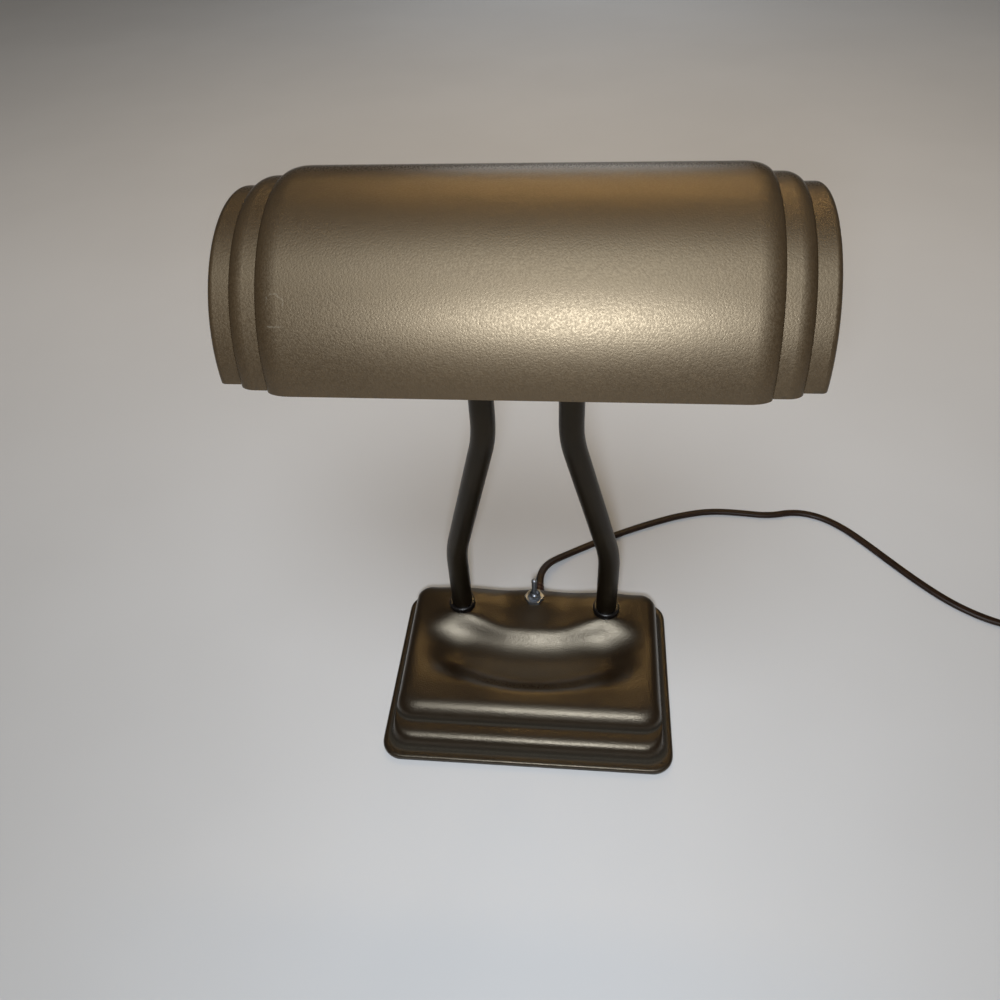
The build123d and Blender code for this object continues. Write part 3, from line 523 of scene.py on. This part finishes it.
# Pressed base
def pick(piece, chosen):
    """Select in edit mode the vertices for which a test on their place holds."""
    bpy.ops.object.mode_set(mode="EDIT")
    bpy.ops.mesh.select_mode(type="VERT")
    bpy.ops.mesh.select_all(action="DESELECT")
    bpy.ops.object.mode_set(mode="OBJECT")
    for vertex in piece.data.vertices:
        vertex.select = chosen(vertex.co)
    bpy.ops.object.mode_set(mode="EDIT")


def press(depth, reach, falloff="SMOOTH"):
    """Move what is selected up or down, with a falloff round it."""
    bpy.ops.transform.translate(value=(0, 0, depth), use_proportional_edit=True,
                                proportional_edit_falloff=falloff, proportional_size=reach)


def draw_up(before, after):
    """Extrude the selected loop from one row of sizes to the next."""
    old_w, old_front, old_rear, old_z, old_rise = before
    new_w, new_front, new_rear, new_z, new_rise = after
    bpy.ops.mesh.extrude_region_move(TRANSFORM_OT_translate={"value": (0, 0, new_z - old_z)})
    shorter = (new_rear - new_front) / (old_rear - old_front)
    bpy.ops.transform.resize(value=(new_w / old_w, shorter, shorter), center_override=(0, old_front, new_z))
    bpy.ops.transform.translate(value=(0, new_front - old_front, 0))
    if new_rise != old_rise:
        bpy.ops.transform.rotate(value=old_rise - new_rise, orient_axis="X",
                                 center_override=(0, new_front, new_z))


def past_spine(spot):
    """How far a place on the deck lies behind the lowest line of the tray."""
    return spot.y - TRAY_SPINE_Y - TRAY_CURVE * spot.x * spot.x


def press_tray(base):
    """The tray, one side of its lowest line at a time: twice down, so that it is deeper short of its ends."""
    for side, half_l, reach, falloff in ((1, TRAY_REAR_L, TRAY_REAR_REACH, "SPHERE"),
                                         (-1, TRAY_FRONT_L, TRAY_FRONT_REACH, "SMOOTH")):
        pick(base, lambda spot: past_spine(spot) * side < 0)
        bpy.ops.mesh.hide(unselected=False)
        for length in (half_l, half_l * TRAY_END_SHARE):
            pick(base, lambda spot: 0 <= past_spine(spot) * side < TRAY_CORE_W and abs(spot.x) < length
                 and spot.z > DECK_LOW_Z - TRAY_DEPTH)
            press(-TRAY_DEPTH / 2, reach, falloff)
        bpy.ops.mesh.reveal(select=False)


def pick_seat(base, seat, share):
    """Select a share of the top of a raised seat."""
    seat_x, seat_y = seat[:2]
    radius = seat[3] * share
    pick(base, lambda spot: math.hypot(spot.x - seat_x, spot.y - seat_y) < radius and spot.z > DECK_LOW_Z)


def level_seat(seat):
    """Flatten what is selected at the seat's height."""
    bpy.ops.transform.resize(value=(1, 1, 0), center_override=seat[:3])


def press_deck(base):
    """The tray and the raised seats behind it, smoothed into one another, with the seats' tops kept level."""
    press_tray(base)
    for seat in SEATS:
        pick_seat(base, seat, 1.0)
        press(SEAT_LIFT, seat[4])
        level_seat(seat)
    deck_w, deck_front = BASE_LOOPS[-1][:2]
    pick(base, lambda spot: abs(spot.x) < deck_w and spot.y > deck_front and spot.z > DECK_LOW_Z - TRAY_DEPTH)
    bpy.ops.mesh.vertices_smooth(factor=DECK_SMOOTH_SHARE, repeat=DECK_SMOOTHING)
    for seat in SEATS:
        pick_seat(base, seat, SEAT_LEVEL_SHARE)
        level_seat(seat)
    bpy.ops.object.mode_set(mode="OBJECT")


def make_base():
    """The pressed cover: a rounded outline drawn up loop by loop, its deck pressed to a tray and seats."""
    half_w, front, rear, low_z = BASE_LOOPS[0][:4]
    base = start("pressed_base", bpy.ops.mesh.primitive_plane_add, (0, (front + rear) / 2, low_z),
                 (2 * half_w, rear - front, 1))
    round_outline(BASE_CORNER_R, BASE_CORNER_STEPS)
    straight_w = half_w - BASE_CORNER_R - SLACK
    straight_d = (rear - front) / 2 - BASE_CORNER_R - SLACK
    pick(base, lambda spot: abs(spot.y) > rear - SLACK and abs(spot.x) > straight_w)
    bpy.ops.mesh.subdivide(number_cuts=BASE_LONG_CUTS)
    pick(base, lambda spot: abs(spot.x) > half_w - SLACK and abs(spot.y) > straight_d)
    bpy.ops.mesh.subdivide(number_cuts=BASE_SHORT_CUTS)
    bpy.ops.mesh.select_all(action="SELECT")
    for before, after in zip(BASE_LOOPS, BASE_LOOPS[1:]):
        draw_up(before, after)
    bpy.ops.mesh.fill_grid(span=BASE_SHORT_CUTS + 1 + BASE_CORNER_STEPS, offset=BASE_GRID_TURN,
                           use_interp_simple=True)
    bpy.ops.object.mode_set(mode="OBJECT")
    press_deck(base)
    tidy_mesh(base, BASE_SMOOTH_ANGLE)
    modify(base, "SUBSURF", levels=BASE_ROUNDING, render_levels=BASE_ROUNDING)
    modify(base, "SOLIDIFY", thickness=BASE_SHEET_T, offset=-1)
    return base


# Soft pieces: the tie round the coil and the felt under the base
def make_tie():
    """A strap bent round the coil's turns: a rounded loop, drawn out to its width and given a thickness."""
    low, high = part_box("cord_tie")
    width, depth, height = high - low
    tie = start("coil_tie", bpy.ops.mesh.primitive_plane_add, (low + high) / 2,
                (depth - TIE_T, height - TIE_T, 1), (math.pi / 2, 0, math.pi / 2))
    round_outline(TIE_BEND_R, TIE_BEND_STEPS)
    bpy.ops.mesh.select_all(action="SELECT")
    bpy.ops.transform.translate(value=(-width / 2, 0, 0))
    bpy.ops.mesh.extrude_region_move(TRANSFORM_OT_translate={"value": (width, 0, 0)})
    bpy.ops.object.mode_set(mode="OBJECT")
    tidy_mesh(tie, TIE_SMOOTH_ANGLE)
    modify(tie, "SOLIDIFY", thickness=TIE_T, offset=0)
    return tie


def make_felt():
    """A rounded plate of felt with a hole for each screw head."""
    low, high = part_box("felt_pad")
    middle = (low + high) / 2
    thickness = high.z - low.z
    felt = start("felt_sheet", bpy.ops.mesh.primitive_cube_add, middle, high - low)
    bpy.ops.object.mode_set(mode="EDIT")
    bpy.ops.mesh.select_mode(type="EDGE")
    bpy.ops.mesh.select_all(action="DESELECT")
    bpy.ops.object.mode_set(mode="OBJECT")
    for edge in felt.data.edges:
        first, last = [felt.data.vertices[n].co for n in edge.vertices]
        edge.select = abs(first.z - last.z) > SLACK
    bpy.ops.object.mode_set(mode="EDIT")
    bpy.ops.mesh.bevel(offset=FELT_CORNER_R, segments=FELT_CORNER_STEPS, affect="EDGES")
    bpy.ops.object.mode_set(mode="OBJECT")
    for number in range(1, SCREW_COUNT + 1):
        head_low, head_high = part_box(f"bottom_screw_{number}")
        spot = (head_low + head_high) / 2
        spot.z = middle.z
        bpy.ops.mesh.primitive_cylinder_add(vertices=FELT_HOLE_SIDES, radius=FELT_HOLE_R, depth=4 * thickness,
                                            location=spot)
        punch = bpy.context.object
        modify(felt, "BOOLEAN", object=punch, operation="DIFFERENCE")
        bpy.data.objects.remove(punch)
    tidy_mesh(felt, FELT_SMOOTH_ANGLE)
    return felt


# Finishes
def lacquer(paint, browns, grain, rough):
    """Brown lacquer full of fine metal flake: a wide pale sheen over dark brown, sharper at a low angle."""
    pebble = paint.noise(PEBBLE_SCALE, detail=1.5)
    flake = paint.noise(FLAKE_SCALE, detail=1.0)
    cloud = paint.noise(CLOUD_SCALE, detail=3.0)
    mottle = paint.noise(MOTTLE_SCALE, detail=2.0)
    tone = cloud.spread() * 0.5 + mottle.spread() * 0.5
    turned_away = paint.node("ShaderNodeLayerWeight", None, {"Blend": 0.5}, out="Facing")
    smoother = turned_away.ramp(*LOW_ANGLE, rough, LOW_ANGLE_ROUGH)
    paint.bump(pebble * 0.7 + flake * 0.3, GRAIN_HEIGHT * grain, strength=0.6)
    return tone.mix(*browns), smoother + pebble.spread(-ROUGH_SPREAD, ROUGH_SPREAD)


def painted_crease_shade(z, crease_z):
    """Painted shade: darkening in a crease and on the foot of the wall above it."""
    fade_from, fade_to = CREASE_SHADE_FADE
    above_crease = z.ramp(crease_z - CREASE_SHADE_EDGE, crease_z + CREASE_SHADE_EDGE)
    return above_crease * z.ramp(crease_z + fade_from, crease_z + fade_to, 1.0, 0.0)


def base_lacquer():
    """The lacquer, with painted shade darkening the creases below the two steps."""
    paint = Finish("base_lacquer")
    brown, rough = lacquer(paint, BASE_BROWNS, BASE_GRAIN, BASE_ROUGH)
    z = paint.axes()[2]
    # Painted shade: the creases and the foot of the walls above them are darkened and made rougher
    crease_shade = painted_crease_shade(z, FLANGE_CREASE_Z) + painted_crease_shade(z, STEP_CREASE_Z)
    paint.set(Base_Color=crease_shade.mix(brown, CREASE_SHADE), Roughness=rough + crease_shade * CREASE_SHADE_ROUGH, IOR=BASE_IOR,
              Specular_Tint=BASE_SHEEN)
    return paint


def scratches(paint):
    """A small hooked scratch and a short straight one, on the front of the shade near its left end."""
    x, y, z = paint.axes()
    across = x - SCRATCH_X
    above = z - SCRATCH_Z
    waver = (paint.noise(SCRATCH_WAVER_SCALE, detail=2.0) - 0.5) * SCRATCH_R
    hook = (across * across + above * above).math("SQRT") - SCRATCH_R + waver
    arch = abs(hook).ramp(SCRATCH_W, 2 * SCRATCH_W, 1.0, 0.0) * above.ramp(-SCRATCH_W, SCRATCH_W)
    dash = abs(above + 2 * SCRATCH_R + 0.4 * waver).ramp(SCRATCH_W, 2 * SCRATCH_W, 1.0, 0.0)
    dash = dash * abs(across).ramp(0.8 * SCRATCH_R, SCRATCH_R, 1.0, 0.0)
    broken = paint.noise(SCRATCH_BREAK_SCALE, detail=2.0).ramp(*SCRATCH_BREAKS)
    return (arch + dash) * broken * y.ramp(*SCRATCH_BACK_Y, 1.0, 0.0)


def shade_lacquer():
    """The lacquer with a white enamel lining, a scratch and small chips along the rim."""
    paint = Finish("shade_lacquer")
    brown, rough = lacquer(paint, SHADE_BROWNS, SHADE_GRAIN, SHADE_ROUGH)
    x, y, z = paint.axes()
    facing = paint.node("ShaderNodeNewGeometry", out="Normal")
    turn = {"vector_type": "NORMAL", "convert_from": "WORLD", "convert_to": "OBJECT"}
    nx, ny, nz = paint.parts(paint.node("ShaderNodeVectorTransform", turn, {0: facing}))
    outward = (y - SHADE_Y) * ny + (z - RIM_Z) * nz + x * nx
    lining = outward.ramp(*LINING_EDGE, 1.0, 0.0)
    chips = paint.noise(CHIPS_SCALE, detail=2.0).ramp(*CHIPS_AMOUNT) * z.ramp(*CHIPS_Z, 1.0, 0.0)
    worn = scratches(paint).mix(chips.mix(brown, CHIPPED), SCRATCHED)
    paint.set(Base_Color=lining.mix(worn, WHITE_ENAMEL), Roughness=rough, IOR=SHADE_IOR,
              Specular_Tint=SHADE_SHEEN)
    return paint


def arm_bronze():
    """Dark brown enamel, a little uneven."""
    paint = Finish("arm_bronze")
    fine = paint.noise(ARM_FINE_SCALE, detail=3.0)
    cloud = paint.noise(ARM_CLOUD_SCALE, detail=3.0)
    paint.set(Base_Color=cloud.spread().mix(*ARM_BROWNS), Roughness=fine.spread(*ARM_ROUGH), IOR=ARM_IOR,
              Specular_Tint=ARM_SHEEN)
    paint.bump(fine, ARM_GRAIN_HEIGHT, strength=0.5)
    return paint


def two_tone(name, tones, rough, metal, scale, **more):
    """A finish with two close tones and a spread of roughness."""
    finish = Finish(name)
    spots = finish.noise(scale, detail=3.0)
    finish.set(Base_Color=spots.spread().mix(*tones), Metallic=metal,
               Roughness=spots.spread(rough - ROUGH_SPREAD, rough + ROUGH_SPREAD, 0.25), **more)
    return finish


def ringed(name, tones, rough, pitch):
    """A plated finish with the rings of a screw thread along X or Z."""
    finish = two_tone(name, tones, rough, metal=1.0, scale=THREAD_SPOTS_SCALE)
    axes = finish.axes()
    rings = ((axes[0] + axes[2]) * (2 * math.pi / pitch)).math("SINE")
    finish.bump(rings, pitch * 0.3, strength=0.8)
    return finish


def plain_finish(name, tones, rough, metal=0.0, scale=200.0, bump=0.00005, **more):
    """A finish with two close tones, a spread of roughness and a fine bump."""
    finish = two_tone(name, tones, rough, metal, scale, **more)
    finish.bump(finish.noise(scale * 4, detail=2.0), bump, strength=0.5)
    return finish


def make_finishes():
    """Every finish of the lamp by its slot's name."""
    made = {"shade_paint": shade_lacquer(), "base_paint": base_lacquer(), "arm_paint": arm_bronze()}
    for name, values in PLAIN_FINISHES.items():
        made[name] = plain_finish(name, **values)
    return made


def finish_solids():
    """The finish of each CAD solid by its slot, and threads where they show."""
    for node in nodes.values():
        for spot in node.material_slots:
            if spot.material and spot.material.name in finishes:
                spot.material = finishes[spot.material.name].material
    switch_thread = ringed("threaded_nickel", NICKELS, SWITCH_THREAD_ROUGH, SWITCH_THREAD_PITCH)
    nodes["switch_bushing"].material_slots[0].material = switch_thread.material
    bulb_thread = ringed("bulb_screw", BRASSES, BULB_THREAD_ROUGH, BULB_THREAD_PITCH)
    for name in ("left_bulb_base", "right_bulb_base", "left_screw_shell", "right_screw_shell"):
        nodes[name].material_slots[0].material = bulb_thread.material


# Floor and light
def make_floor():
    """A plain pale floor with painted light: a little darker in front and lighter towards the back, where
    less lamp light reaches.
    """
    paper = Finish("pale_floor")
    away = paper.axes()[1]
    cloud = paper.noise(FLOOR_CLOUD_SCALE, detail=3.0)
    # Painted light: lighter towards the back, with random clouds added
    tone = away.ramp(*FLOOR_PAINTED_LIGHT_Y, 0.0, 0.9) + cloud.spread(0.0, 0.1)
    paper.set(Base_Color=tone.mix(*FLOOR_GREYS), Roughness=FLOOR_ROUGH)
    bpy.ops.object.select_all(action="DESELECT")
    bpy.ops.mesh.primitive_plane_add(size=FLOOR_SIZE)
    floor = bpy.context.object
    floor.name = "floor"
    floor.data.materials.append(paper.material)


def soft_light(name, spot, aim, size, power, colour, length=None):
    """A soft lamp aimed at a spot: round, or a strip where a length is given."""
    light = bpy.data.lights.new(name, "AREA")
    light.shape = "RECTANGLE" if length else "DISK"
    light.size = length or size
    if length:
        light.size_y = size
    light.energy = power
    light.color = colour
    lamp = bpy.data.objects.new(name, light)
    bpy.context.scene.collection.objects.link(lamp)
    turn = (Vector(aim) - Vector(spot)).to_track_quat("-Z", "Y").to_matrix().to_4x4()
    lamp.matrix_world = Matrix.Translation(spot) @ turn


def light_scene():
    """The camera's flash, a soft light overhead, a weak one behind and an amber strip for the shade's top."""
    world = bpy.data.worlds.new("studio")
    bpy.context.scene.world = world
    world.use_nodes = True
    backdrop = world.node_tree.nodes["Background"]
    backdrop.inputs["Color"].default_value = WORLD_LIGHT
    backdrop.inputs["Strength"].default_value = WORLD_STRENGTH
    soft_light("flash", CAMERA_SPOT + FLASH_OFFSET, aim=(0.0, 0.0, 0.2), size=0.05, power=2.3,
               colour=FLASH_LIGHT)
    soft_light("back_fill", (0.0, 2.4, 0.9), aim=(0.0, 1.2, 0.0), size=1.0, power=2.5, colour=COOL_LIGHT)
    soft_light("overhead", (0.0, -0.9, 2.2), aim=(0.0, 0.0, 0.1), size=1.3, power=24.0, colour=COOL_LIGHT)
    soft_light("warm_back", (0.05, 1.2, 1.5), aim=(0.0, 0.0, 0.35), size=0.1, power=5.0, colour=AMBER_LIGHT,
               length=1.0)


# The lamp and its setting
finishes = make_finishes()
place_camera()
cord, cord_path = make_cord()
tie = make_tie()
dress(tie, "tie_black", "cord_tie")
dress(cord, "cord_brown", "power_cord", "cord_coil", "cord_end", "cord_inner_end")
base = make_base()
dress(base, "base_paint", "base_shell")
felt = make_felt()
dress(felt, "felt", "felt_pad")
finish_solids()
make_floor()
light_scene()
bpy.context.scene.view_settings.view_transform = "Standard"
